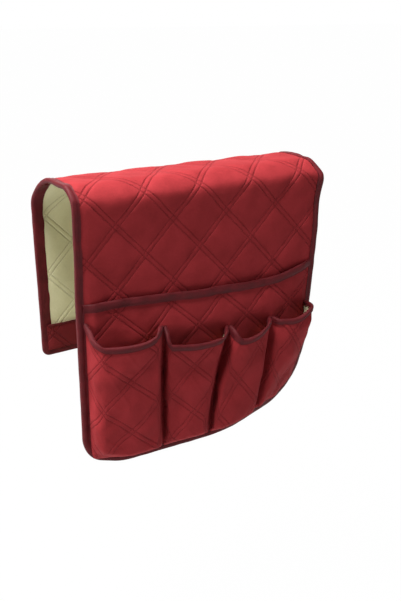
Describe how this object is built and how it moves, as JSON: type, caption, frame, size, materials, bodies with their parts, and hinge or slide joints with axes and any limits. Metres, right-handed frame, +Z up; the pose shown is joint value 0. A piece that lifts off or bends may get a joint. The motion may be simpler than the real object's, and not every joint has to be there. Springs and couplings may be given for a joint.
{
  "type": "sofa armrest organizer",
  "caption": "Quilted cloth saddle that hangs over a sofa arm, with a lined inside, bound edges, a wide flat pocket and gusseted pockets on its front.",
  "frame": {"origin": "middle of the flat underside of the lining, where the saddle rests on the top of the sofa arm", "axes": "+Z up, out of the top of the saddle; +X along the sofa arm, to the right of someone facing the pockets; -Y is the front with the pockets"},
  "size_m": [0.33, 0.16, 0.338],
  "materials": {
    "cover_cloth": "matte woven linen-look cloth, quilted",
    "lining_cloth": "matte woven lining",
    "binding_tape": "slightly shiny woven tape",
    "wadding": "soft white fibre wadding"
  },
  "bodies": {
    "top": {"lining_top": "lining_cloth", "wadding_top": "wadding", "cover_top": "cover_cloth", "binding_top_left": "binding_tape", "binding_top_right": "binding_tape"},
    "front_panel": {"lining_front": "lining_cloth", "wadding_front": "wadding", "cover_front": "cover_cloth", "binding_front": "binding_tape", "magazine_pocket_cloth": "cover_cloth", "magazine_pocket_binding": "binding_tape", "pocket_1_cloth": "cover_cloth", "pocket_1_lining": "lining_cloth", "pocket_1_binding": "binding_tape", "pocket_2_cloth": "cover_cloth", "pocket_2_lining": "lining_cloth", "pocket_2_binding": "binding_tape", "pocket_3_cloth": "cover_cloth", "pocket_3_lining": "lining_cloth", "pocket_3_binding": "binding_tape", "pocket_4_cloth": "cover_cloth", "pocket_4_lining": "lining_cloth", "pocket_4_binding": "binding_tape"},
    "back_flap": {"lining_back": "lining_cloth", "wadding_back": "wadding", "cover_back": "cover_cloth", "binding_back": "binding_tape", "hem_facing_back": "cover_cloth"}
  },
  "joints": [
    {"name": "front_panel_swing", "type": "hinge", "parent": "top", "child": "front_panel", "pos_m": [0, -0.0413, -0.0206], "axis": [-1, 0, 0], "range_deg": [-6, 90]},
    {"name": "back_flap_swing", "type": "hinge", "parent": "top", "child": "back_flap", "pos_m": [0, 0.0801, -0.0594], "axis": [1, 0, 0], "range_deg": [-6, 90]}
  ]
}
